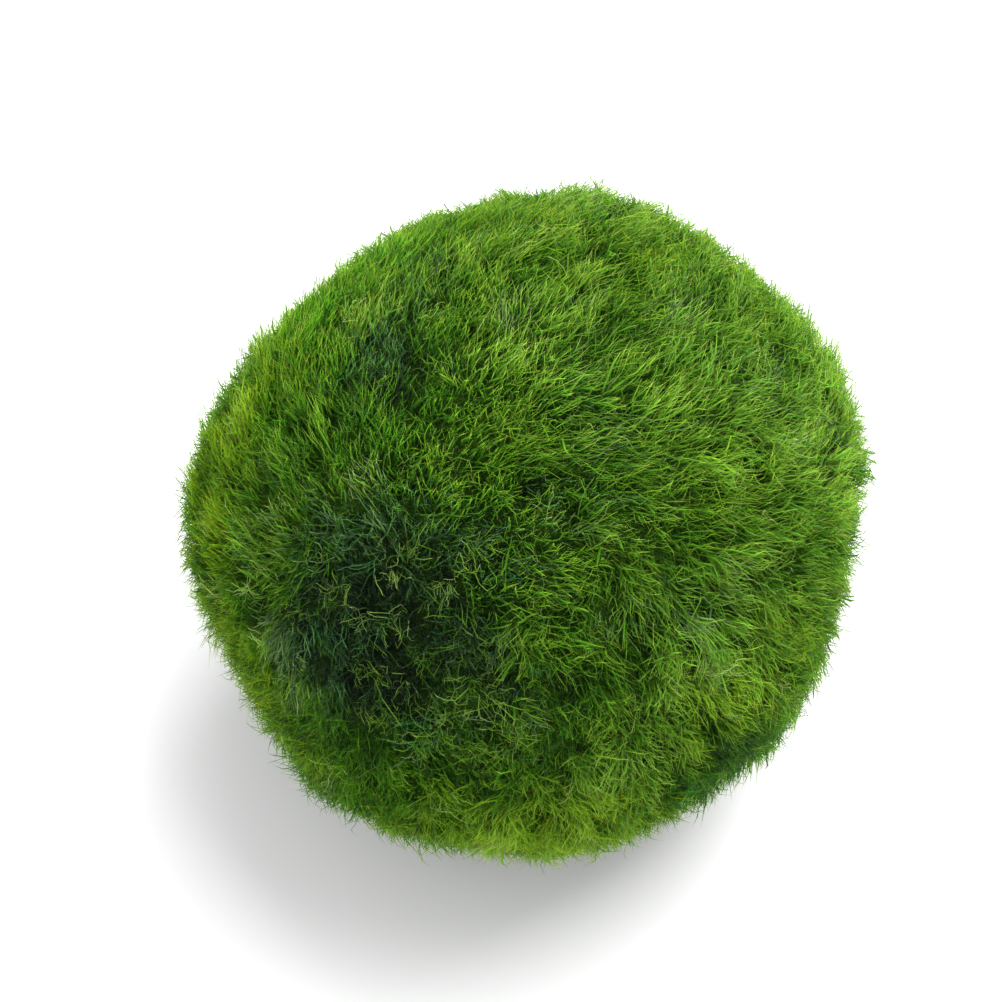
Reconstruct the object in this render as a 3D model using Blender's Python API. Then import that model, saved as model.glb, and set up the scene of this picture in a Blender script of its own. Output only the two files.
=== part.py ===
"""A marimo moss ball: one grown mass of green algae that rests on a small flat spot.

The solid is the ball's outer shape out to the tips of its filaments, in metres, with +Z up. Its origin is on
the surface that it rests on, under the middle of its bounding box. A round ball is pushed out and in by a few
broad swellings and hollows, stretched to its measured width, depth and height, and cut flat underneath where
its own weight has pressed it.
"""

import math

import bmesh
import bpy
from mathutils import Vector

# Driving dimensions, in metres.
WIDTH = 0.0700
DEPTH = 0.0685
HEIGHT = 0.0655
PRESSED = 0.0017  # how much of the underside the ball's own weight has flattened

# Each swelling or hollow: its compass angle from +X towards +Y and its angle above the middle, in degrees,
# how far it rises (or sinks, below zero) as a share of the ball's radius, and its spread in degrees.
SWELLINGS = {
    "right_shoulder": (17, 13, 0.055, 24),
    "left_cheek": (177, 0, 0.060, 21),
    "low_left_lobe": (229, -28, 0.045, 18),
    "low_front_lobe": (283, -34, 0.025, 18),
    "low_right_lobe": (326, -22, 0.020, 13),
    "crown_lobe": (64, 40, 0.030, 22),
    "back_lobe": (100, 6, 0.040, 30),
    "back_left_flat": (135, 26, -0.045, 26),
    "right_flat": (352, -6, -0.055, 17),
    "low_right_flat": (306, -30, -0.030, 20),
    "left_dip": (203, -15, -0.030, 13),
    "front_hollow": (244, 30, -0.045, 20),
    "crown_dip": (110, 66, -0.020, 20),
    "back_low_flat": (60, -34, -0.035, 26),
}

FINENESS = 5  # subdivisions of the starting icosahedron
SHARP_ANGLE = math.radians(35)  # the pressed spot's rim shows as an edge, and the rest is smooth
ON_CUT = 1e-7

MOSS_GREEN = (0.055, 0.125, 0.012, 1.0)
MOSS_ROUGHNESS = 0.9


def clear_scene():
    for thing in list(bpy.data.objects):
        bpy.data.objects.remove(thing, do_unlink=True)


def heading(compass, above):
    """The unit vector at a compass angle from +X and an angle above the middle, both in degrees."""
    turn, lift = math.radians(compass), math.radians(above)
    return Vector((math.cos(lift) * math.cos(turn), math.cos(lift) * math.sin(turn), math.sin(lift)))


def swollen_radius(direction):
    """1 plus every swelling at this direction, each a smooth bell over the angle from its middle."""
    radius = 1.0
    for compass, above, rise, spread in SWELLINGS.values():
        angle = math.degrees(direction.angle(heading(compass, above)))
        radius += rise * math.exp(-((angle / spread) ** 2))
    return radius


def corners(form):
    """The lowest and highest corners of the form's bounding box."""
    lowest = Vector(min(vertex.co[axis] for vertex in form.verts) for axis in range(3))
    highest = Vector(max(vertex.co[axis] for vertex in form.verts) for axis in range(3))
    return lowest, highest


def swell(form):
    for vertex in form.verts:
        direction = vertex.co.normalized()
        vertex.co = direction * swollen_radius(direction)


def stretch_to_size(form):
    """Scales the form to its width, depth and uncut height, and centres it over the origin on the surface."""
    lowest, highest = corners(form)
    across = highest - lowest
    size = Vector((WIDTH / across.x, DEPTH / across.y, (HEIGHT + PRESSED) / across.z))
    middle_of_foot = Vector(((lowest.x + highest.x) / 2, (lowest.y + highest.y) / 2, lowest.z))
    bmesh.ops.translate(form, verts=form.verts, vec=-middle_of_foot)
    bmesh.ops.scale(form, verts=form.verts, vec=size)
    bmesh.ops.translate(form, verts=form.verts, vec=(0, 0, -PRESSED))


def press_flat(form):
    """Cuts away what lies below the surface and closes the cut with one flat face."""
    everything = list(form.verts) + list(form.edges) + list(form.faces)
    bmesh.ops.bisect_plane(
        form,
        geom=everything,
        dist=ON_CUT,
        plane_co=(0, 0, 0),
        plane_no=(0, 0, -1),
        clear_outer=True,
    )
    rim = [edge for edge in form.edges if edge.is_boundary]
    spot = bmesh.ops.contextual_create(form, geom=rim)["faces"]
    bmesh.ops.triangulate(form, faces=spot)
    bmesh.ops.recalc_face_normals(form, faces=form.faces)


def moss_material():
    material = bpy.data.materials.new("moss")
    material.use_nodes = True
    surface = material.node_tree.nodes["Principled BSDF"]
    surface.inputs["Base Color"].default_value = MOSS_GREEN
    surface.inputs["Roughness"].default_value = MOSS_ROUGHNESS
    surface.inputs["Metallic"].default_value = 0.0
    material.diffuse_color = MOSS_GREEN
    return material


def make_moss_ball():
    form = bmesh.new()
    bmesh.ops.create_icosphere(form, subdivisions=FINENESS, radius=1.0)
    swell(form)
    stretch_to_size(form)
    press_flat(form)
    mesh = bpy.data.meshes.new("moss_ball")
    form.to_mesh(mesh)
    form.free()
    mesh.shade_smooth()
    mesh.set_sharp_from_angle(angle=SHARP_ANGLE)
    mesh.materials.append(moss_material())
    ball = bpy.data.objects.new("moss_ball", mesh)
    bpy.context.scene.collection.objects.link(ball)
    return ball


def main():
    clear_scene()
    bpy.context.scene.unit_settings.system = "METRIC"
    make_moss_ball()


main()
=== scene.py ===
# %% [markdown]
# # A marimo moss ball
# A marimo is one green alga that grows outwards from its middle as a tangle of fine branching filaments.
# Rolled about by gentle water it stays round, and its filaments make a soft pile, like short fur. This
# lesson dresses a plain solid, which already has the ball's real size and shape, in that pile.
#
# The work goes from the inside out: the outer shape is read from the solid, a matted body is set a few
# millimetres inside it, and about a hundred and twenty thousand filaments are grown from the body out to
# the solid's surface. Everything is worked out as whole arrays of numbers, so even that many filaments take
# only seconds.

# %% Load the fixed frame
import math

import bpy
import numpy as np
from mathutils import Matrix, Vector


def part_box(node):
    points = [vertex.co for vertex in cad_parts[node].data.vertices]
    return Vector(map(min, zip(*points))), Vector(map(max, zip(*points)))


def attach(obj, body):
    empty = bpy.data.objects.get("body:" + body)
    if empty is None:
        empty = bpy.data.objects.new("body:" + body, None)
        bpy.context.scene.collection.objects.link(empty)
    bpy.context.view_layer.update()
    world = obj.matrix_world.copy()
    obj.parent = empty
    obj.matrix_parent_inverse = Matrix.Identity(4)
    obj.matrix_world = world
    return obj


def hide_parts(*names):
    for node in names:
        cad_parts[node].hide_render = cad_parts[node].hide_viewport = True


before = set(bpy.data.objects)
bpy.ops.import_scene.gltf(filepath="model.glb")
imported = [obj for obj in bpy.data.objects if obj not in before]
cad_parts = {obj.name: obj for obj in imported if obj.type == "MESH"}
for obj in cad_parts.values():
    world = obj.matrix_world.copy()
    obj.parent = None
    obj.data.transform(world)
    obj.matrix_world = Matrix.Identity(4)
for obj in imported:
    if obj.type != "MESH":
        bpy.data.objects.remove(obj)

MM = 0.001
TAU = 2 * math.pi
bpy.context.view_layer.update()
lowest, highest = (np.array(corner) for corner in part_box("moss_ball"))
MIDDLE = np.array([0.0, 0.0, (lowest[2] + highest[2]) / 2])
print("The solid measures", ((highest - lowest) / MM).round(1), "mm")

# %% [markdown]
# ## Places and headings on a ball
# Every place on the coat is a direction from the ball's middle. A person would describe it as on a globe:
# a compass angle, counted from +X towards +Y, and an angle above the middle. The side seen first faces -Y,
# which is compass 270. These helpers turn such angles into arrows of length one, and back into a number
# that says how near two directions are.

# %% Direction helpers
def heading(compass, above):
    """Arrows of length one: cos(above) round the compass, and sin(above) upwards. Angles are in degrees."""
    turn, lift = np.broadcast_arrays(np.radians(compass), np.radians(above))
    return np.stack([np.cos(lift) * np.cos(turn), np.cos(lift) * np.sin(turn), np.sin(lift)], axis=-1)


def unit(arrows):
    """Each arrow divided by its own length."""
    return arrows / np.maximum(np.linalg.norm(arrows, axis=-1, keepdims=True), 1e-12)


def flattened(arrows, normals):
    """Each arrow with its share along the normal taken away, so that it lies along the surface."""
    return arrows - normals * (arrows * normals).sum(axis=-1, keepdims=True)


def bell(directions, centres, spreads):
    """How strongly each direction feels each centre: e to the minus square of angle over spread."""
    angle = np.degrees(np.arccos(np.clip(directions @ centres.T, -1.0, 1.0)))
    return np.exp(-((angle / spreads) ** 2))


def eased(values, start, end):
    """0 below start, 1 above end, and a smooth S between them: 3 t squared minus 2 t cubed."""
    t = np.clip((values - start) / (end - start), 0.0, 1.0)
    return t * t * (3 - 2 * t)


# %% [markdown]
# ## Natural unevenness
# Nothing grown is even. Pure chance gives salt and pepper, so broad unevenness comes from ripples instead:
# many sine waves that run in all directions through space. Their sum swells and fades smoothly, and one
# number, the wavelength, sets its scale. Directions are put on a ball of 30 mm before a ripple reads them,
# so a wavelength is in millimetres. All chance in this file is drawn from one seeded source, so that every
# run grows the same ball.

# %% Ripples
chance = np.random.default_rng(7)
WAVES = 28
RIPPLE_RADIUS = 30


def new_ripple(wavelength):
    """A function that gives each point a smooth value near -1 to 1: sines in random directions, summed."""
    ways = unit(chance.normal(size=(WAVES, 3))) * TAU / wavelength * chance.uniform(0.7, 1.4, (WAVES, 1))
    phases = chance.uniform(0, TAU, WAVES)
    return lambda points: np.sin(points @ ways.T + phases).sum(axis=-1) * 0.8 / math.sqrt(WAVES)


def ripple(points, wavelength):
    """The value at each point of a ripple that is used only once."""
    return new_ripple(wavelength)(points)


# %% [markdown]
# ## The outer shape
# The solid's surface is where the pile's tips should end. It is kept as a map of the ball: a grid of
# compass angles by angles above the middle, that holds the distance from the middle out to the surface.
# Each value is the average of the solid's own points nearby, weighted by how near they are, so the map is
# smooth. Underneath, the distance also ends at the floor, where the ball's weight has pressed a flat spot.

# %% Read the outer shape
STEP = 3.0
NEARBY = 4.0
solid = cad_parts["moss_ball"]
places = np.empty(len(solid.data.vertices) * 3, np.float32)
solid.data.vertices.foreach_get("co", places)
places = np.unique(places.reshape(-1, 3).round(6), axis=0) - MIDDLE
map_compass, map_above = np.meshgrid(np.arange(0, 361, STEP), np.arange(-90, 91, STEP), indexing="ij")
nearness = bell(heading(map_compass, map_above).reshape(-1, 3), unit(places), NEARBY)
reach_map = (nearness @ np.linalg.norm(places, axis=1) / nearness.sum(axis=1)).reshape(map_compass.shape)


def reach(directions):
    """Distance from the middle to the solid's surface: the map's value between its four nearest places."""
    column = np.degrees(np.arctan2(directions[..., 1], directions[..., 0])) % 360 / STEP
    row = (np.degrees(np.arcsin(np.clip(directions[..., 2], -1, 1))) + 90) / STEP
    left = np.minimum(column.astype(int), reach_map.shape[0] - 2)
    low = np.minimum(row.astype(int), reach_map.shape[1] - 2)
    right, up = column - left, row - low
    lower = reach_map[left, low] * (1 - right) + reach_map[left + 1, low] * right
    upper = reach_map[left, low + 1] * (1 - right) + reach_map[left + 1, low + 1] * right
    to_floor = MIDDLE[2] / np.maximum(-directions[..., 2], 1e-6)
    return np.minimum(lower * (1 - up) + upper * up, to_floor)


nearest, farthest = reach_map.min() / MM, reach_map.max() / MM
print("From the middle to the surface:", nearest.round(1), "to", farthest.round(1), "mm")

# %% [markdown]
# ## How the coat was combed
# Water and handling have combed the pile. Near the upper right it streams up and away, on the right it lies
# nearly level, below it hangs, and on the left it turns outwards. There is a parting near the middle of the
# right half. This is kept as strokes of a comb, each from one place on the ball to another. Between strokes
# the lie of the pile is the average of those nearby.

# %% Comb strokes
# Each stroke: compass and height where it starts, the same where it ends, and how widely it is felt.
STROKES = {
    "upper_left": (161, 44, 124, 49, 20),
    "crown": (83, 65, 58, 44, 20),
    "upper_middle": (147, 75, 81, 63, 14),
    "middle_left": (221, 63, 152, 79, 14),
    "middle": (283, 63, 333, 57, 14),
    "top_right": (27, 59, 41, 36, 18),
    "right_upper_rim": (8, 38, 35, 27, 18),
    "right_middle": (336, 49, 354, 28, 16),
    "right_rim": (347, 23, 10, 16, 16),
    "right_low": (323, 25, 333, 2, 16),
    "lower_right": (300, 20, 311, -3, 16),
    "parting_right": (305, 39, 319, 17, 9),
    "parting_down": (293, 33, 290, 9, 9),
    "parting_left": (286, 44, 256, 34, 6),
    "bottom_right": (290, 2, 297, -22, 16),
    "bottom": (270, -3, 270, -28, 16),
    "bottom_left": (248, -3, 246, -28, 16),
    "low_left": (225, 1, 215, -21, 14),
    "low_middle": (273, 23, 279, -1, 12),
    "combed_patch": (228, 20, 249, 5, 9),
    "left": (198, 12, 175, 2, 16),
    "left_upper": (189, 32, 161, 27, 18),
    "mid_left": (221, 44, 185, 50, 12),
    "hollow": (246, 32, 254, 9, 12),
    "hollow_top": (243, 50, 274, 65, 9),
    "centre": (257, 61, 306, 66, 8),
    "middle_low": (270, 53, 305, 50, 9),
    "back_right": (30, 10, 45, -12, 26),
    "back": (85, 22, 88, -5, 24),
    "back_left": (128, 8, 120, -18, 24),
    "left_below": (185, -22, 176, -46, 24),
    "back_below": (85, -28, 92, -52, 28),
    "right_below": (350, -20, 354, -45, 26),
    "front_below": (268, -34, 264, -58, 22),
}
stroke_table = np.array(list(STROKES.values()), float)
stroke_starts = heading(stroke_table[:, 0], stroke_table[:, 1])
stroke_ways = unit(heading(stroke_table[:, 2], stroke_table[:, 3]) - stroke_starts)


def combed(directions, normals):
    """The lie of the pile and how firmly it is set: the strokes' arrows averaged by nearness and laid along
    the surface, then that arrow's own way and its length, which is small where strokes pull apart."""
    felt = bell(directions, stroke_starts, stroke_table[:, 4] * 1.25) + 1e-9
    mean = flattened(felt @ stroke_ways / felt.sum(axis=-1, keepdims=True), normals)
    return unit(mean), np.linalg.norm(mean, axis=-1)


print(len(STROKES), "comb strokes")

# %% [markdown]
# ## Streaks along the comb
# Combed hair looks streaked because neighbours along the comb's lie stand alike and neighbours across it do
# not. A ripple alone is the same in every direction. Averaging it over a short walk along the comb blurs it
# that way only, which turns blotches into streaks. Every layer of the pile uses the same two streak fields.

# %% Streaks
WALK_STEPS = 4
WALK_STEP = 0.034
fine_ripple = new_ripple(1.25)
broad_ripple = new_ripple(3.4)


def streaks(directions):
    """Fine and broad streaks at each direction: the ripples' mean over a walk behind it and ahead of it."""
    ahead = behind = directions
    track = [directions]
    for _ in range(WALK_STEPS):
        ahead = unit(ahead + combed(ahead, ahead)[0] * WALK_STEP)
        behind = unit(behind - combed(behind, behind)[0] * WALK_STEP)
        track += [ahead, behind]
    places = np.stack(track) * RIPPLE_RADIUS
    return fine_ripple(places).mean(axis=0) * 2.4, broad_ripple(places).mean(axis=0) * 2.0


# %% [markdown]
# ## What differs from place to place
# The coat has a dark matted hollow low on the left of the side seen first, and a few small pits that are
# shorter and darkened as painted shade. Its rims are yellow-green as a painted glow of light through their
# filaments, its right half and crown are painted lighter where the light falls, and low on the right it is
# painted dark as shadow. Each is a region with a place, a spread, and what it adds to the pile's height,
# lean, mess, brightness and yellowness.

# %% Regions of the coat
# Each: compass, height, spread, then what it adds: tallness, lean in degrees, mess, brightness, yellowness.
# Brightness holds painted light and shade: the pits and the regions named shade and dark are painted shade,
# Yellowness at the rims and fringes is a painted glow of light through the filaments. The matted hollow's
# and those named bright, the right half, the crown, the upper right and the bottom fringe are painted
# light.
# darkness is the moss's own colour.
REGIONS = {
    "matted_hollow": (235, 29, 14, -0.46, 12, 0.80, -0.38, -0.62),
    "hollow_right": (254, 27, 11, -0.30, 10, 0.60, -0.12, -0.26),
    "hollow_tail": (240, 15, 8, -0.25, 8, 0.40, -0.16, -0.20),
    "hollow_shoulder": (262, 42, 13, -0.10, 8, 0.20, -0.10, -0.25),
    "middle_pit": (229, 64, 6, -0.40, 0, 0.10, -0.32, -0.16),
    "centre_pit": (277, 58, 5, -0.35, 0, 0.20, -0.14, -0.10),
    "upper_pit": (204, 67, 6, -0.30, 0, 0.20, -0.15, -0.10),
    "crown_pit": (34, 73, 4, -0.30, 0, 0.20, -0.14, -0.10),
    "crown_bright": (14, 68, 8, 0.00, 0, 0.00, 0.16, 0.00),
    "right_pit": (8, 48, 5, -0.40, 0, 0.20, -0.25, 0.00),
    "back_pit": (42, 52, 5, -0.30, 0, 0.20, -0.20, 0.00),
    "left_rim": (198, 10, 20, 0.00, -4, 0.10, -0.16, 0.50),
    "left_upper": (187, 32, 18, 0.00, -4, 0.05, -0.12, 0.34),
    "top_left_shade": (150, 52, 26, 0.00, 0, 0.05, -0.17, 0.00),
    "upper_left_dark": (200, 62, 12, -0.15, 4, 0.00, -0.25, -0.08),
    "left_upper_dark": (184, 40, 9, 0.00, 0, 0.00, -0.14, 0.00),
    "cool_middle": (236, 47, 14, 0.00, 6, 0.10, 0.02, -0.15),
    "middle_bright": (285, 71, 10, 0.05, 4, -0.10, 0.38, 0.00),
    "upper_middle_bright": (219, 76, 6, 0.00, 0, 0.00, 0.16, 0.00),
    "right_rim_bright": (354, 26, 12, 0.00, 0, 0.00, 0.16, 0.00),
    "right_upper_bright": (4, 29, 9, 0.00, 0, 0.05, 0.23, 0.05),
    "combed_patch": (225, 17, 7, 0.15, 12, -0.20, 0.45, -0.75),
    "bottom_fringe": (272, -12, 16, 0.05, -6, 0.10, 0.27, 0.60),
    "bottom_left_fringe": (244, -6, 14, 0.05, -6, 0.10, -0.20, 0.35),
    "low_left_fringe": (222, -2, 13, 0.05, -4, 0.10, -0.12, 0.40),
    "low_right": (311, 8, 18, 0.00, -4, 0.10, 0.12, 0.35),
    "low_right_shade": (310, -6, 14, 0.00, 0, 0.10, -0.98, -0.10),
    "low_right_bright": (301, 20, 9, 0.00, 0, 0.00, 0.56, 0.05),
    "right_low_bright": (304, 34, 7, 0.00, 0, 0.00, 0.20, 0.00),
    "low_front_locks": (290, 10, 6, 0.05, 0, 0.00, 0.32, 0.00),
    "pale_lock": (258, 12, 5, 0.10, 0, 0.00, 0.44, 0.10),
    "bottom_left_dark": (247, -7, 10, 0.00, 0, 0.00, -0.48, 0.00),
    "hollow_foot": (241, 16, 7, -0.10, 4, 0.20, -0.24, -0.40),
    "right_painted_light": (336, 45, 24, 0.05, 10, -0.10, 0.20, 0.00),
    "crown_painted_light": (80, 62, 22, 0.05, 0, 0.00, 0.10, 0.05),
    "upper_right_painted_light": (30, 42, 18, 0.00, 0, 0.00, 0.10, 0.15),
    "low_middle": (262, 13, 12, -0.26, 8, 0.90, -0.17, -0.06),
    "low_right_middle": (286, 16, 10, 0.05, 4, 0.40, 0.02, 0.10),
    "top_left_notch": (101, 35, 7, -0.62, 0, 0.20, -0.05, 0.00),
    "top_left_flat": (134, 27, 8, -0.42, 0, 0.00, 0.00, 0.10),
    "top_flat": (50, 27, 9, -0.32, 0, 0.00, 0.00, 0.10),
    "right_corner": (17, 11, 9, 0.30, 0, 0.00, 0.00, 0.10),
    "left_corner": (191, -7, 6, 0.50, 0, 0.10, 0.05, 0.20),
    "low_left_corner": (219, -24, 7, 0.30, 0, 0.10, 0.00, 0.20),
    "low_right_corner": (321, -24, 8, 0.28, 0, 0.10, 0.00, 0.20),
    "back_dip": (118, -4, 14, -0.25, 0, 0.30, -0.20, -0.40),
    "back_left_rim": (150, -12, 20, 0.00, -4, 0.10, 0.08, 0.45),
}
region_table = np.array(list(REGIONS.values()), float)
region_places = heading(region_table[:, 0], region_table[:, 1])


def coat(directions):
    """Tallness, lean, mess, brightness and yellowness at each direction: regions' numbers by nearness."""
    felt = bell(directions, region_places, region_table[:, 2])
    tallness, lean, mess, bright, yellow = (felt @ region_table[:, 3:]).T
    return tallness, np.radians(lean), np.clip(mess, 0, 1), bright, yellow


print(len(REGIONS), "regions")

# %% [markdown]
# ## The matted body
# Below the loose pile the filaments are packed into a felt that lets no light through. It shows only
# between tufts and in the hollow, so one closed surface is enough: a grid of compass angles by heights,
# closed by one point at each pole, set a pile's depth inside the outer shape and roughened by ripples.
# Where the coat's yellowness is below nought it is matted, and the body keeps how much as an attribute.

# %% Body surface
PILE_DEPTH = 2.4 * MM
PRESSED_DEPTH = 0.7 * MM
BODY_COLUMNS, BODY_ROWS = 160, 78
MATTED = "matted"
MATTED_BELOW_NOUGHT = 1.4


def pressed(directions):
    """1 on the flat spot underneath and 0 well away from it, by the angle from straight down."""
    from_below = np.degrees(np.arccos(np.clip(-directions[..., 2], -1, 1)))
    return 1 - eased(from_below, 14, 34)


def root_distance(directions):
    """Distance from the middle to where filaments are rooted: the outer shape less the pile's depth."""
    squash = pressed(directions)
    return reach(directions) - PILE_DEPTH * (1 - squash) - PRESSED_DEPTH * squash


def new_mesh(name, places, faces_by_size):
    """A mesh from an array of places and, for each number of corners, an array of faces with that many."""
    mesh = bpy.data.meshes.new(name)
    corners = np.concatenate([faces.ravel() for faces in faces_by_size])
    sizes = np.concatenate([np.full(len(faces), faces.shape[1]) for faces in faces_by_size])
    starts = np.concatenate([[0], np.cumsum(sizes)[:-1]])
    mesh.vertices.add(len(places))
    mesh.vertices.foreach_set("co", places.astype(np.float32).ravel())
    mesh.loops.add(len(corners))
    mesh.loops.foreach_set("vertex_index", corners.astype(np.int32))
    mesh.polygons.add(len(sizes))
    mesh.polygons.foreach_set("loop_start", starts.astype(np.int32))
    mesh.polygons.foreach_set("use_smooth", np.ones(len(sizes), bool))
    mesh.update(calc_edges=True)
    mesh.validate()
    return mesh


def new_piece(name, mesh, material):
    """An object that shows the mesh in this material, and rides with the ball's one body."""
    mesh.materials.append(material)
    piece = bpy.data.objects.new(name, mesh)
    bpy.context.scene.collection.objects.link(piece)
    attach(piece, "root")
    mesh.calc_loop_triangles()
    print(name, "has", len(mesh.loop_triangles), "triangles")
    return piece


def body_mesh():
    """A closed globe: point (i, j) is at compass i and height j, at the root distance plus ripples."""
    compass = np.arange(BODY_COLUMNS) * 360 / BODY_COLUMNS
    above = np.linspace(-90, 90, BODY_ROWS + 2)[1:-1]
    ring = heading(compass[None, :], above[:, None]).reshape(-1, 3)
    directions = np.concatenate([ring, [[0, 0, -1.0], [0, 0, 1.0]]])
    at = directions * RIPPLE_RADIUS
    rough = ripple(at, 2.2) * 0.16 + ripple(at, 5.0) * 0.20
    distance = root_distance(directions) + rough * MM * (1 - pressed(directions))
    places = MIDDLE + directions * distance[:, None]
    column, row = np.meshgrid(np.arange(BODY_COLUMNS), np.arange(BODY_ROWS - 1))
    following = (column + 1) % BODY_COLUMNS
    below, over = row * BODY_COLUMNS, (row + 1) * BODY_COLUMNS
    quads = np.stack([below + column, below + following, over + following, over + column], -1)
    first = np.arange(BODY_COLUMNS)
    second = (first + 1) % BODY_COLUMNS
    last = (BODY_ROWS - 1) * BODY_COLUMNS
    south = np.stack([np.full(BODY_COLUMNS, len(ring)), second, first], -1)
    north = np.stack([np.full(BODY_COLUMNS, len(ring) + 1), last + first, last + second], -1)
    mesh = new_mesh("matted_body", places, [quads.reshape(-1, 4), np.concatenate([south, north])])
    layer = mesh.attributes.new(MATTED, "FLOAT", "POINT")
    matted = np.clip(-MATTED_BELOW_NOUGHT * coat(directions)[4], 0, 1)
    layer.data.foreach_set("value", matted.astype(np.float32))
    return mesh


# %% [markdown]
# ## Shader sums written as sums
# A material's pattern is arithmetic on colours and numbers. Wiring Math nodes by hand hides that
# arithmetic, so a small class stands for one output of a node, and +, * and ** on it add the Math node that
# works them out. Every other node is made by one method, which sets the node's own settings first and then
# its sockets, each to a value or to a link.

# %% Shader helpers
def tint(red, green, blue):
    """A colour given as 0 to 255 on a screen, as the light it stands for: the share to the power 2.2."""
    return tuple((level / 255) ** 2.2 for level in (red, green, blue)) + (1.0,)


class Wire:
    """One output of a node. Arithmetic on it adds Math nodes to the same material."""

    def __init__(self, maker, socket):
        self.maker = maker
        self.socket = socket

    def maths(self, operation, first, second):
        """The output of a new Math node that does this operation on two wires or numbers."""
        return self.maker.node("ShaderNodeMath", {"operation": operation}, {0: first, 1: second})

    def __add__(self, other):
        return self.maths("ADD", self, other)

    def __mul__(self, other):
        return self.maths("MULTIPLY", self, other)

    def __pow__(self, other):
        return self.maths("POWER", self, other)

    __radd__ = __add__
    __rmul__ = __mul__


class Finish:
    """A material whose nodes are made one call at a time."""

    def __init__(self, name):
        self.material = bpy.data.materials.new(name)
        self.material.use_nodes = True
        self.tree = self.material.node_tree
        self.shader = self.tree.nodes["Principled BSDF"]

    def join(self, value, socket):
        """Links a wire to a socket, or sets the socket to a plain value."""
        if isinstance(value, Wire):
            self.tree.links.new(value.socket, socket)
        else:
            socket.default_value = value

    def node(self, kind, settings, sockets, output=0):
        """Adds a node of this kind, with its settings and then its sockets, and returns one output."""
        made = self.tree.nodes.new(kind)
        for name, value in settings.items():
            if name == "stops":
                self.set_stops(made.color_ramp, value)
            else:
                setattr(made, name, value)
        for name, value in sockets.items():
            self.join(value, made.inputs[name])
        return Wire(self, made.outputs[output])

    def set_stops(self, ramp, stops):
        """Gives a colour ramp one stop for each position and colour."""
        while len(ramp.elements) < len(stops):
            ramp.elements.new(1.0)
        for element, (position, colour) in zip(ramp.elements, stops):
            element.position = position
            element.color = colour

    def mix(self, share, first, second, blend="MIX"):
        """A colour between two others, or their product with blend MULTIPLY."""
        settings = {"data_type": "RGBA", "blend_type": blend}
        return self.node("ShaderNodeMix", settings, {0: share, 6: first, 7: second}, output=2)

    def put(self, **sockets):
        """Feeds the Principled shader. An underscore in a name stands for a space."""
        for name, value in sockets.items():
            self.join(value, self.shader.inputs[name.replace("_", " ")])
        return self.material


# %% [markdown]
# ## The colour of a filament
# A filament's colour depends on two things only: which filament it is, and how far along it the eye looks.
# So each filament is laid on a map with its own tone across and root to tip upwards. The material turns
# that map into colour: across, three families one after another, blue-green, leaf green and lime, each from
# dark to bright; and upwards, from a shaded root to a tip that is the same colour in more light.
# Light passes through a filament, so a little of it is also let in under the surface.

# %% Filament colours
CHART = "OFBake"
FAMILIES = {
    "blue_green": (tint(20, 26, 23), tint(41, 60, 43), tint(80, 114, 70)),
    "leaf_green": (tint(29, 48, 15), tint(54, 99, 23), tint(98, 163, 44)),
    "lime": (tint(34, 57, 8), tint(70, 113, 18), tint(122, 180, 38)),
}
FAMILY_EDGE = 0.015
# Painted light and shade: TIP_LIGHT lightens the tips as a painted highlight, ROOT_SHADE darkens the roots
# as painted shade.
TIP_LIGHT = (2.4, 2.1, 2.2, 1.0)
ROOT_SHADE = (0.60, 0.68, 0.60, 1.0)
STREAKS_ACROSS = 520.0
STREAKS_ALONG = 5.0
STREAK_SHADES = [
    (0.32, (0.70, 0.72, 0.70, 1.0)),
    (0.50, (0.88, 0.90, 0.88, 1.0)),
    (0.68, (1.00, 1.00, 1.00, 1.0)),
]
# How much of the painted tip highlight the pile's tips and the sprigs' tips take.
PILE_TIP_HIGHLIGHT, SPRIG_TIP_HIGHLIGHT = 0.33, 0.5
LIGHT_SHARE = 0.6
LIGHT_REACH = 0.4 * MM
LIGHT_COLOURS = (0.6, 1.0, 0.2)


def family_stops(families):
    """Dark, middle and bright for each family, side by side across the chart."""
    share = 1 / len(families)
    places = (FAMILY_EDGE, share / 2, share - FAMILY_EDGE)
    return [
        (index * share + place, colour)
        for index, colours in enumerate(families.values())
        for place, colour in zip(places, colours)
    ]


def filament_finish(name, families, tip_highlight_share):
    """Colour read from the chart: families across, and from a shaded root to a lit tip upwards."""
    finish = Finish(name)
    chart = finish.node("ShaderNodeUVMap", {"uv_map": CHART}, {})
    tone = finish.node("ShaderNodeSeparateXYZ", {}, {0: chart}, output=0)
    along = finish.node("ShaderNodeSeparateXYZ", {}, {0: chart}, output=1)
    colour = finish.node("ShaderNodeValToRGB", {"stops": family_stops(families)}, {0: tone})
    place = finish.node("ShaderNodeCombineXYZ", {}, {0: tone * STREAKS_ACROSS, 1: along * STREAKS_ALONG})
    streak = finish.node("ShaderNodeTexNoise", {}, {"Vector": place, "Scale": 1.0, "Detail": 2.0})
    shade = finish.node("ShaderNodeValToRGB", {"stops": STREAK_SHADES}, {0: streak})
    colour = finish.mix(1.0, colour, shade, blend="MULTIPLY")
    root = finish.mix(1.0, colour, ROOT_SHADE, blend="MULTIPLY")
    colour = finish.mix(along**0.75, root, colour)
    tip = finish.mix(1.0, colour, TIP_LIGHT, blend="MULTIPLY")
    colour = finish.mix(along**5 * tip_highlight_share, colour, tip)
    finish.put(Subsurface_Weight=LIGHT_SHARE, Subsurface_Scale=LIGHT_REACH, Subsurface_Radius=LIGHT_COLOURS)
    return finish.put(Base_Color=colour, Roughness=0.6, Specular_IOR_Level=0.08)


pile_finish = filament_finish("moss_pile", FAMILIES, PILE_TIP_HIGHLIGHT)

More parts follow.
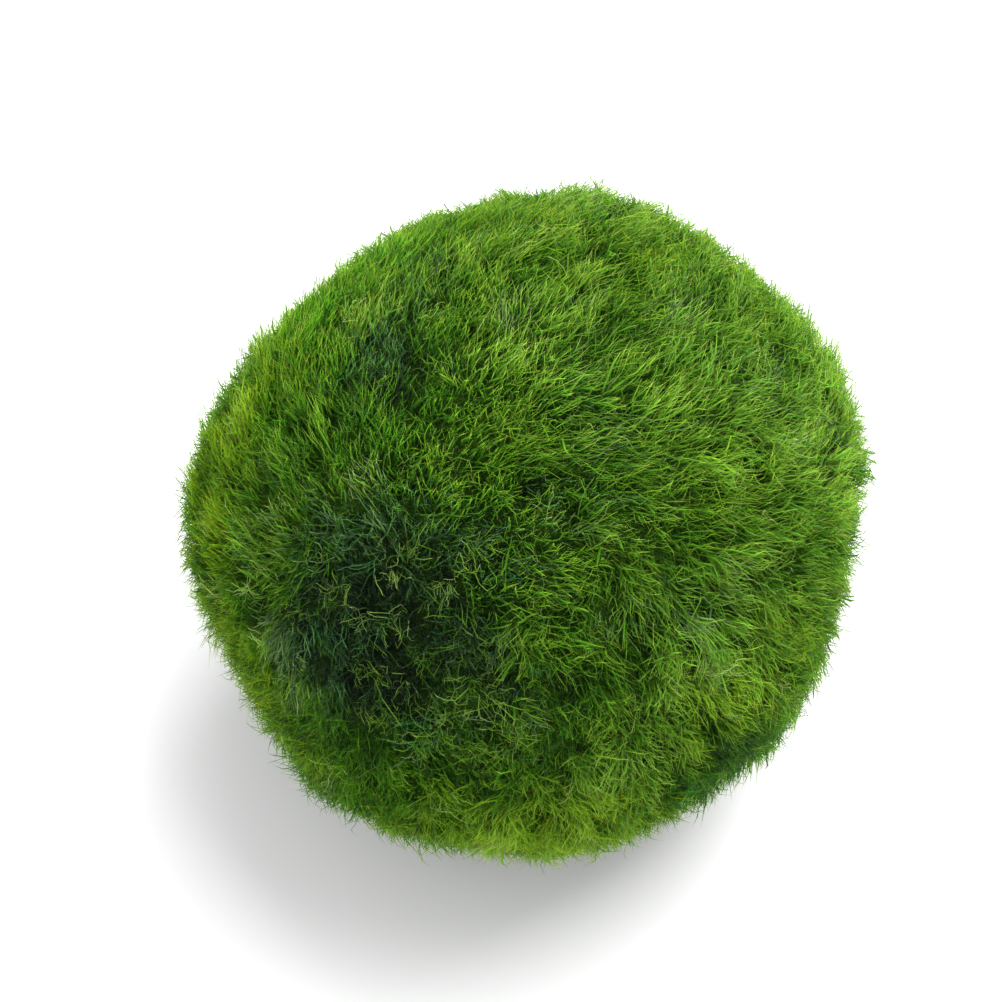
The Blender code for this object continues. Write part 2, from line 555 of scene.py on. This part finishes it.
# %% [markdown]
# ### The colour of the felt
# The felt is the same alga in the shade of its own pile: blotches of green and near black, which noise at
# two scales gives in the object's own coordinates. Where it is matted it is duller and bluish.

# %% Felt
FELT_STOPS = [(0.34, tint(12, 22, 8)), (0.50, tint(34, 56, 18)), (0.66, tint(66, 96, 30))]
MATTED_SHADE = (0.52, 0.50, 1.1, 1.0)
BLOTCH_SCALE, FIBRE_SCALE = 260.0, 5200.0
FIBRE_BUMP = 0.3 * MM


def felt_finish():
    """Blotches and fibres through a ramp of three greens, duller where matted, with a fine bump."""
    finish = Finish("moss_felt")
    here = finish.node("ShaderNodeTexCoord", {}, {}, output=3)
    blotch = finish.node("ShaderNodeTexNoise", {}, {"Vector": here, "Scale": BLOTCH_SCALE, "Detail": 3.0})
    fine = finish.node("ShaderNodeTexNoise", {}, {"Vector": here, "Scale": FIBRE_SCALE, "Detail": 3.0})
    mixed = blotch * 0.4 + fine * 0.6
    colour = finish.node("ShaderNodeValToRGB", {"stops": FELT_STOPS}, {0: mixed})
    matted = finish.node("ShaderNodeAttribute", {"attribute_name": MATTED}, {}, output=2)
    dull = finish.mix(1.0, colour, MATTED_SHADE, blend="MULTIPLY")
    colour = finish.mix(matted, colour, dull)
    bump = finish.node("ShaderNodeBump", {}, {"Height": fine, "Strength": 1.0, "Distance": FIBRE_BUMP})
    return finish.put(Base_Color=colour, Roughness=fine * 0.2 + 0.75, Specular_IOR_Level=0.05, Normal=bump)


body = new_piece("matted_body", body_mesh(), felt_finish())
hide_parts("moss_ball")

# %% [markdown]
# ## Growing filaments
# A filament is a thin three-sided thread, carried along a path of a few points and closed to a point at
# both ends. It leaves the felt steeply and bends over to the lie of the comb. Filaments grow in tufts:
# those of one tuft share a lean and draw together towards their tips, which leaves the dark gaps between
# tufts. Inside a tuft hundreds of filaments cling together. Those are made as a few wisps: the same thread,
# but wide and flat.

# %% Filament mesh
SIDES = 3
SIDE_ANGLES = (np.arange(SIDES) * 120 + 90) * TAU / 360
CHART_EDGE = 0.02
CROWDING = 1.4
TAPER = 0.3


def shares_along(steps):
    """How far along a thread its points are: they crowd towards the tip, so that the taper is short."""
    return 1 - (1 - np.linspace(0, 1, steps)) ** CROWDING


def threads(paths, sideways, widths, flatness, tones, chart_width):
    """Closed threads. Around each inner path point are three corners, half a width away and square to the
    path; each end is one point. On the chart a corner lies at its thread's tone across, and upwards at its
    share of the path."""
    count, steps = paths.shape[:2]
    rings = steps - 2
    along = unit(paths[:, 2:] - paths[:, :-2])
    across = unit(flattened(np.broadcast_to(sideways[:, None], along.shape), along))
    square = np.cross(along, across) * flatness
    cosines, sines = np.cos(SIDE_ANGLES)[:, None], np.sin(SIDE_ANGLES)[:, None]
    around = across[:, :, None] * cosines + square[:, :, None] * sines
    share = shares_along(steps)
    fullness = 1 - TAPER * share[1:-1] ** 3
    half = widths[:, None, None, None] / 2 * fullness[:, None, None]
    sides = (paths[:, 1:-1, None] + around * half).reshape(count, rings * SIDES, 3)
    corners = np.concatenate([paths[:, :1], sides, paths[:, -1:]], axis=1)
    per_thread = corners.shape[1]
    side = np.arange(SIDES)
    after = (side + 1) % SIDES
    rows = np.arange(rings - 1)[:, None] * SIDES + 1
    quads = np.stack([rows + side, rows + after, rows + SIDES + after, rows + SIDES + side], -1)
    last = 1 + (rings - 1) * SIDES
    foot = np.stack([np.zeros(SIDES, int), 1 + after, 1 + side], -1)
    tip = np.stack([last + side, last + after, np.full(SIDES, per_thread - 1)], -1)
    first = np.arange(count)[:, None, None] * per_thread
    ends = np.concatenate([foot, tip])
    faces = [(quads.reshape(-1, 4) + first).reshape(-1, 4), (ends + first).reshape(-1, 3)]
    height = np.concatenate([[0], np.repeat(share[1:-1], SIDES), [1]])
    shift = np.concatenate([[0], np.tile([0, -1, 1], rings), [0]]) * chart_width
    chart = np.empty((count, per_thread, 2))
    chart[..., 0] = tones[:, None] + shift
    chart[..., 1] = CHART_EDGE + (1 - 2 * CHART_EDGE) * height
    return corners.reshape(-1, 3), faces, chart.reshape(-1, 2)


def thread_mesh(name, groups):
    """One mesh of several groups of threads, each given as its corners, faces and chart."""
    starts = np.cumsum([0] + [len(corners) for corners, _, _ in groups])
    quads = np.concatenate([faces[0] + start for (_, faces, _), start in zip(groups, starts)])
    triangles = np.concatenate([faces[1] + start for (_, faces, _), start in zip(groups, starts)])
    mesh = new_mesh(name, np.concatenate([corners for corners, _, _ in groups]), [quads, triangles])
    order = np.empty(len(mesh.loops), np.int32)
    mesh.loops.foreach_get("vertex_index", order)
    chart = np.concatenate([chart for _, _, chart in groups])
    layer = mesh.uv_layers.new(name=CHART)
    layer.uv.foreach_set("vector", chart[order].astype(np.float32).ravel())
    return mesh


# %% [markdown]
# ### Paths
# Places are spread over the ball as seeds are on a sunflower: each turns by the golden angle from the one
# before, which leaves no rows and no bald places. Each is then moved a little by chance. A path's length is
# worked out from the height that it should reach, so a filament that leans far over is a longer one.

# %% Path helpers
GOLDEN_TURN = 180 * (3 - math.sqrt(5))
FLOOR_GAP = 0.15 * MM
KINK = 0.16
LONGEST = 6.0 * MM
TONE_EDGE = 0.04


def seeds(count, wander):
    """Even places on a ball: heights in equal steps, each turned by the golden angle, moved by chance."""
    order = np.arange(count) + 0.5
    level = 1 - 2 * order / count
    even = heading(order * GOLDEN_TURN, np.degrees(np.arcsin(level)))
    return unit(even + chance.normal(size=(count, 3)) * wander / math.sqrt(count))


def outward(directions):
    """The way the pile stands up: straight out from the middle, and straight down on the flat spot."""
    squash = pressed(directions)[..., None]
    return unit(directions * (1 - squash) + np.array([0, 0, -1.0]) * squash)


def grown(roots, ups, ways, heights, lean_start, lean_end, curl, steps):
    """Paths of filaments: each step goes up by the cosine and along the comb by the sine of a lean that
    grows from root to tip, plus a sideways wave and a small random kink. The steps are added up from the
    root. Points that would go below the floor are put just above it."""
    ends = shares_along(steps)
    share = (ends[1:] + ends[:-1]) / 2
    lean = lean_start[:, None] + (lean_end - lean_start)[:, None] * share**0.8
    lengths = np.minimum(heights / np.maximum(np.cos(lean) @ np.diff(ends), 0.2), LONGEST)
    aside = unit(np.cross(ups, ways))
    wave = curl[:, None] * np.cos(TAU * (share * 0.9 + chance.uniform(0, 1, (len(roots), 1))))
    step = (
        ups[:, None] * np.cos(lean)[..., None]
        + ways[:, None] * np.sin(lean)[..., None]
        + aside[:, None] * wave[..., None]
        + chance.normal(size=(len(roots), steps - 1, 3)) * KINK
    )
    step = unit(step) * (lengths[:, None] * np.diff(ends))[..., None]
    paths = np.concatenate([roots[:, None], roots[:, None] + np.cumsum(step, axis=1)], axis=1)
    low = paths[..., 2] < FLOOR_GAP
    paths[..., 2] = np.where(low, FLOOR_GAP + chance.uniform(0, 0.5, paths.shape[:2]) * MM, paths[..., 2])
    return paths


def tone_of(family, bright, families):
    """A place across the chart: the family's own share of it, and within that from dark to bright."""
    inside = TONE_EDGE + (1 - 2 * TONE_EDGE) * np.clip(bright, 0, 1)
    return (family + inside) / len(families)


# %% [markdown]
# ### Locks and tufts
# A tuft is a place with a way to lean, a height and a colour of its own. Water draws a few neighbouring
# tufts together into a lock, which leans as one. Filaments stand tall along a lock's ridge and short in the
# crease between two locks, most of all where the coat is matted, and in the crease they are darkened as
# painted shade. Traits come from the regions, from ripples and from chance, partly once for each lock and
# partly for each tuft.

# %% Locks and tufts
LOCKS = 1700
LOCK_GRIP = 0.42
LOCK_STRETCH = 0.72
LOCK_HALF_WIDTH = 1.15 * MM
TUFTS = 5200
TUFT_RADIUS = 0.75 * MM
TUFT_LONG, TUFT_NARROW = 1.45, 0.62
USUAL_LEAN = 71
MOST_LEAN = math.radians(84)
USUAL_BRIGHT = 0.602
DEEPEST_CREASE = 1.6
CREASE_DEPTH, CREASE_SHADE = 0.24, 0.25
ROOT_LEAN = 28


def by_lock(owner, size):
    """One chance number for each lock, given to all of its tufts, plus a smaller one for each tuft."""
    return (chance.normal(size=LOCKS)[owner] + 0.6 * chance.normal(size=TUFTS)) * size


def make_tufts():
    """Every tuft's traits, each as one array. A tuft belongs to the lock that is nearest to it: a distance
    along the comb counts for about half, so that locks are longer than they are wide."""
    centres = seeds(TUFTS, 1.6)
    locks = seeds(LOCKS, 1.8)
    ups = outward(centres)
    ways, firm = combed(centres, ups)
    owner = (2 * centres @ locks.T + LOCK_STRETCH * (ways @ locks.T) ** 2).argmax(axis=1)
    tallness, lean, mess, bright, yellow = coat(centres)
    at = centres * RIPPLE_RADIUS
    stray = chance.normal(size=(LOCKS, 3))[owner] + 0.6 * chance.normal(size=(TUFTS, 3))
    uneven = ripple(at, 9.0) * 0.08 + by_lock(owner, 0.11) * (1 + mess)
    blotches = ripple(at, 16.0) * 0.06 + ripple(at, 5.0) * 0.11 + by_lock(owner, 0.09) * (1 + mess)
    lean = np.radians(USUAL_LEAN + ripple(at, 8.0) * 7 + by_lock(owner, 6)) + lean
    return {
        "centre": centres,
        "to_lock": flattened(locks[owner] - centres, centres) * root_distance(centres)[:, None],
        "way": unit(ways + flattened(stray, ups) * (0.36 + mess * 0.6)[:, None]),
        "height": np.clip(1 + tallness + uneven, 0.25, 1.3),
        "lean": np.minimum(lean * (0.70 + 0.30 * firm), MOST_LEAN),
        "mess": mess,
        "bright": USUAL_BRIGHT + bright + blotches,
        "yellow": yellow + ripple(at, 14.0) * 0.16 + by_lock(owner, 0.10),
        "grip": np.clip(0.45 + chance.normal(size=TUFTS) * 0.15, 0.1, 0.8),
    }


def tuft_threads(tufts, each, radius, loose, tallness, steps, lift=0.0):
    """Paths that stand round each tuft's middle, widely along the comb and narrowly across it, lean the
    tuft's way, and draw together towards their tips and their lock. The crease is the square of a root's
    distance from the lock's ridge, in half widths. Returns the paths, their sideways arrows, the tuft each
    belongs to, its brightness, and its root's direction."""
    owner = np.repeat(np.arange(len(tufts["centre"])), each)
    count = len(owner)
    centres, mess = tufts["centre"][owner], tufts["mess"][owner]
    lengthways = unit(flattened(tufts["way"][owner], centres))
    sideways = np.cross(centres, lengthways)
    narrow = chance.normal(size=(count, 1)) * radius * TUFT_NARROW
    spread = lengthways * chance.normal(size=(count, 1)) * radius * TUFT_LONG + sideways * narrow
    from_ridge = ((tufts["to_lock"][owner] - spread) * sideways).sum(axis=-1) / LOCK_HALF_WIDTH
    crease = np.minimum(from_ridge**2, DEEPEST_CREASE) * (1 + 0.8 * mess)
    directions = unit(centres * root_distance(tufts["centre"])[owner, None] + spread)
    roots = MIDDLE + directions * (root_distance(directions) + lift)[:, None]
    ups = outward(directions)
    squash = pressed(directions)
    fine, broad = streaks(directions)
    own_way = flattened(chance.normal(size=(count, 3)), ups) * (loose * (1 + mess * 1.3))[:, None]
    ways = unit(flattened(tufts["way"][owner], ups) + own_way)
    heights = PILE_DEPTH * tallness * tufts["height"][owner] * (1 + 0.12 * fine + 0.15 * broad)
    heights = heights * chance.uniform(0.66, 1.14, count) * (1 - 0.8 * squash)
    heights = heights * (1.06 - CREASE_DEPTH * crease)
    lean_start = np.radians(chance.normal(ROOT_LEAN, 8, count)) + squash * 0.8
    lean_end = tufts["lean"][owner] + np.radians(chance.normal(0, 8, count)) + squash * 0.3
    curl = chance.normal(size=count) * loose * (1.3 + mess * 1.6)
    paths = grown(roots, ups, ways, heights, lean_start, lean_end, curl, steps)
    share = shares_along(steps)[:, None]
    pull = tufts["to_lock"][owner] * LOCK_GRIP - sideways * narrow * tufts["grip"][owner, None]
    paths = paths + pull[:, None] * share**1.1
    paths[..., 2] = np.maximum(paths[..., 2], FLOOR_GAP)
    # Painted shade darkens the threads in a crease. The streaks' share is partly the moss's own tone and
    # partly painted shade along the lower streaks.
    bright = tufts["bright"][owner] + 0.10 * fine + 0.09 * broad - CREASE_SHADE * crease
    return paths, unit(np.cross(ups, ways)), owner, bright, directions


tufts = make_tufts()
print(TUFTS, "tufts")

# %% [markdown]
# ### The pile
# Four layers grow together. Wisps fill the tufts and give them their bodies. A few long filaments in each
# tuft curve and stand proud. Fine ones, seventeen to a tuft, are the mass of the pile and make the surface
# that is seen. Short ones fill in below, so that a gap between tufts shows more moss and not bare felt. A
# thread's place on the chart comes from its tuft's brightness and yellowness, and a little chance.

# %% Grow the pile
WISPS_PER_TUFT = 2
WISP_WIDTH = 0.26 * MM
WISP_FLATNESS = 0.45
WISP_CHART_WIDTH = 5.0 / 1024
LONG_PER_TUFT = 3
LONG_WIDTH = 0.080 * MM
FINE_PER_TUFT = 17
FINE_WIDTH = 0.090 * MM
SHORT_COUNT = 8000
SHORT_HEIGHT = 1.4 * MM
SHORT_WIDTH = 0.19 * MM
THREAD_CHART_WIDTH = 1.6 / 1024
FAMILY_LIMITS = (-0.22, 0.30)


def pile_tone(bright, yellow):
    """A place across the pile's chart: the family by yellowness, and within it from dark to bright."""
    return tone_of(np.digitize(yellow, FAMILY_LIMITS), bright, FAMILIES)


def coloured(shape, width, uneven, brighter, strays, flatness=1.0, chart_width=THREAD_CHART_WIDTH):
    """What threads() asks for, and each root's direction. The strays are how much chance adds to a thread's
    brightness and yellowness, and its width lies between the two shares of the usual one."""
    paths, sideways, owner, bright, directions = shape
    bright = bright + brighter + chance.normal(size=len(owner)) * strays[0]
    yellow = tufts["yellow"][owner] + chance.normal(size=len(owner)) * strays[1]
    widths = width * chance.uniform(*uneven, len(owner))
    return (paths, sideways, widths, flatness, pile_tone(bright, yellow), chart_width), directions


def wisps():
    """The bodies of the tufts: wide flat threads, a little lower and darker than those round them."""
    shape = tuft_threads(tufts, WISPS_PER_TUFT, TUFT_RADIUS * 0.9, 0.36, 0.84, 4)
    # The wisps' lower brightness is painted shade under the threads round them.
    return coloured(shape, WISP_WIDTH, (0.75, 1.25), -0.10, (0.04, 0.08), WISP_FLATNESS, WISP_CHART_WIDTH)


def long_filaments():
    """Thin threads with two bends, that curve and stand proud of the rest."""
    shape = tuft_threads(tufts, LONG_PER_TUFT, TUFT_RADIUS, 0.42, 1.06, 4)
    return coloured(shape, LONG_WIDTH, (0.7, 1.2), 0.03, (0.05, 0.12))


def fine_filaments():
    """The mass of the pile: many threads with one bend, that lie closer together."""
    shape = tuft_threads(tufts, FINE_PER_TUFT, TUFT_RADIUS, 0.38, 0.96, 3)
    return coloured(shape, FINE_WIDTH, (0.7, 1.2), 0.0, (0.03, 0.08))


def short_filaments():
    """The undergrowth: short threads spread evenly, each leaning nearly its own way."""
    directions = seeds(SHORT_COUNT, 2.0)
    tallness, _, mess, bright, yellow = coat(directions)
    roots = MIDDLE + directions * root_distance(directions)[:, None]
    ups = outward(directions)
    squash = pressed(directions)
    stray = flattened(chance.normal(size=directions.shape), ups)
    ways = unit(combed(directions, ups)[0] + stray * (0.7 + mess * 0.8)[:, None])
    heights = SHORT_HEIGHT * (1 + 0.5 * tallness) * chance.uniform(0.6, 1.2, SHORT_COUNT)
    heights = heights * (1 - 0.7 * squash)
    lean_start = np.radians(chance.normal(25, 15, SHORT_COUNT)) + squash * 0.9
    lean_end = np.radians(chance.normal(62, 14, SHORT_COUNT)) + squash * 0.3
    curl = chance.normal(size=SHORT_COUNT) * 0.3
    paths = grown(roots, ups, ways, heights, lean_start, lean_end, curl, 3)
    blotches = ripple(directions * RIPPLE_RADIUS, 6.0) * 0.08
    bright = 0.42 + bright * 0.8 + blotches + chance.normal(size=SHORT_COUNT) * 0.12
    yellow = yellow - 0.10 + chance.normal(size=SHORT_COUNT) * 0.18
    widths = SHORT_WIDTH * chance.uniform(0.7, 1.2, SHORT_COUNT)
    sideways = unit(np.cross(ups, ways))
    return (paths, sideways, widths, 1.0, pile_tone(bright, yellow), THREAD_CHART_WIDTH), directions


layers = [wisps(), long_filaments(), fine_filaments(), short_filaments()]
print("Wisps, long, fine and short filaments:", [len(directions) for _, directions in layers])

# %% [markdown]
# ### One mesh for each side
# Hundreds of thousands of faces in one mesh are slow to edit and to export, so the pile is shared among six
# meshes, one for each side of the ball. A filament belongs to the side that its root's direction points to
# most.

# %% Pile pieces
SIDE_NAMES = {
    "pile_right": (1, 0, 0),
    "pile_left": (-1, 0, 0),
    "pile_back": (0, 1, 0),
    "pile_front": (0, -1, 0),
    "pile_crown": (0, 0, 1),
    "pile_under": (0, 0, -1),
}
side_arrows = np.array(list(SIDE_NAMES.values()), float)


def on_side(layer, index):
    """Those threads of a layer that point to this side most, as a group of corners, faces and chart."""
    (paths, sideways, widths, flatness, tones, chart_width), directions = layer
    mine = (directions @ side_arrows.T).argmax(axis=1) == index
    return threads(paths[mine], sideways[mine], widths[mine], flatness, tones[mine], chart_width)


for index, name in enumerate(SIDE_NAMES):
    new_piece(name, thread_mesh(name, [on_side(layer, index) for layer in layers]), pile_finish)

# %% [markdown]
# ## Loose sprigs
# Where the coat is matted, filaments have worked loose. They branch from one place as a small curly sprig
# that rides over the pile, and some have faded to straw. Elsewhere there are few. A sprig is a tuft like
# the others, but it stands higher up and holds fewer threads, which have more points for their curls. Its
# colours run from teal through lime to straw.

# %% Sprigs
SPRIG_PLACES = 3400
THREADS_PER_SPRIG = 10
SPRIG_RADIUS = 0.45 * MM
SPRIG_WIDTH = 0.075 * MM
SPRIG_FAMILIES = {
    "teal": (tint(16, 34, 22), tint(32, 66, 42), tint(64, 110, 70)),
    "lime": (tint(36, 62, 18), tint(70, 112, 36), tint(130, 172, 80)),
    "straw": (tint(50, 70, 26), tint(94, 122, 48), tint(146, 168, 92)),
}
SPRIG_LIMITS = (0.12, 0.94)
sprig_finish = filament_finish("loose_sprigs", SPRIG_FAMILIES, SPRIG_TIP_HIGHLIGHT)


def make_sprigs():
    """The sprigs' traits, as for tufts: many sprigs where the coat is messy and few elsewhere."""
    centres = seeds(SPRIG_PLACES, 3.0)
    mess = coat(centres)[2]
    kept = (chance.uniform(size=SPRIG_PLACES) < 0.05 + 0.75 * mess) & (pressed(centres) < 0.05)
    centres = centres[kept]
    tallness, _, mess, bright, yellow = coat(centres)
    count = len(centres)
    stray = flattened(chance.normal(size=centres.shape), centres)
    room = np.clip(1 + 1.5 * tallness, 0, 1) * PILE_DEPTH
    return {
        "centre": centres,
        "to_lock": np.zeros((count, 3)),
        "way": unit(combed(centres, centres)[0] + stray * 0.8),
        "height": chance.uniform(0.35, 0.75, count),
        "lean": np.radians(chance.normal(78, 8, count)),
        "mess": mess,
        "bright": 0.66 + 0.2 * bright + chance.normal(size=count) * 0.17,
        "grip": chance.uniform(-0.6, 0.2, count),
        "lift": (0.15 + 0.25 * chance.uniform(size=count)) * room,
        "kind": np.digitize(chance.uniform(size=count) + 0.5 * yellow, SPRIG_LIMITS),
    }


sprigs = make_sprigs()


def sprig_threads():
    """Every sprig's threads: the paths of a tuft's, raised by its lift, each curling its own way."""
    lift = np.repeat(sprigs["lift"], THREADS_PER_SPRIG)
    shape = tuft_threads(sprigs, THREADS_PER_SPRIG, SPRIG_RADIUS, 0.46, 1.0, 6, lift)
    paths, sideways, owner, bright, _ = shape
    bright = bright + chance.normal(size=len(owner)) * 0.10
    tones = tone_of(sprigs["kind"][owner], bright, SPRIG_FAMILIES)
    widths = SPRIG_WIDTH * chance.uniform(0.75, 1.25, len(owner))
    return paths, sideways, widths, 1.0, tones, THREAD_CHART_WIDTH


new_piece("loose_sprigs", thread_mesh("loose_sprigs", [threads(*sprig_threads())]), sprig_finish)

# %% [markdown]
# ## Floor, light and camera
# The ball rests on a plain pale floor under soft light from above and to the right, with a bright even
# surround. The camera looks down on it at 55 degrees with a long lens, which keeps the round shape true.

# %% Floor
FLOOR_HALF = 3.0


def floor_piece():
    """A flat square far wider than the view."""
    corners = np.array([[-1, -1, 0], [1, -1, 0], [1, 1, 0], [-1, 1, 0]], float) * FLOOR_HALF
    mesh = new_mesh("floor", corners, [np.array([[0, 1, 2, 3]])])
    finish = Finish("pale_floor")
    mesh.materials.append(finish.put(Base_Color=(0.86, 0.86, 0.86, 1.0), Roughness=0.9))
    floor = bpy.data.objects.new("floor", mesh)
    bpy.context.scene.collection.objects.link(floor)
    return floor


floor_piece()

# %% Light
def soft_light(name, direction, distance, size, power):
    """A square lamp that faces the ball's middle from this direction."""
    data = bpy.data.lights.new(name, "AREA")
    data.size = size
    data.energy = power
    lamp = bpy.data.objects.new(name, data)
    lamp.location = Vector(MIDDLE) + Vector(direction) * distance
    lamp.rotation_mode = "QUATERNION"
    lamp.rotation_quaternion = Vector(direction).to_track_quat("Z", "Y")
    bpy.context.scene.collection.objects.link(lamp)
    return lamp


soft_light("key", heading(40, 62), 0.60, 0.55, 6.6)
soft_light("fill", heading(215, 38), 0.70, 0.60, 1.2)
world = bpy.data.worlds.new("surround")
world.use_nodes = True
world.node_tree.nodes["Background"].inputs["Color"].default_value = (1.0, 1.0, 1.0, 1.0)
world.node_tree.nodes["Background"].inputs["Strength"].default_value = 0.88
bpy.context.scene.world = world
bpy.context.scene.view_settings.view_transform = "Standard"

# %% Camera
LOOK_DOWN = 55.0
LENS = 90.0
SENSOR = 36.0
VIEW_ACROSS = 101.6 * MM
AIM_RIGHT, AIM_UP = -2.1 * MM, 1.4 * MM
back = Vector(heading(270, LOOK_DOWN))
right = Vector((1, 0, 0))
up = back.cross(right)
camera_data = bpy.data.cameras.new("camera")
camera_data.lens = LENS
camera_data.sensor_width = SENSOR
camera = bpy.data.objects.new("camera", camera_data)
aim = Vector(MIDDLE) + right * AIM_RIGHT + up * AIM_UP
camera.location = aim + back * (VIEW_ACROSS * LENS / SENSOR)
camera.rotation_mode = "QUATERNION"
camera.rotation_quaternion = back.to_track_quat("Z", "Y")
bpy.context.scene.collection.objects.link(camera)
bpy.context.scene.camera = camera
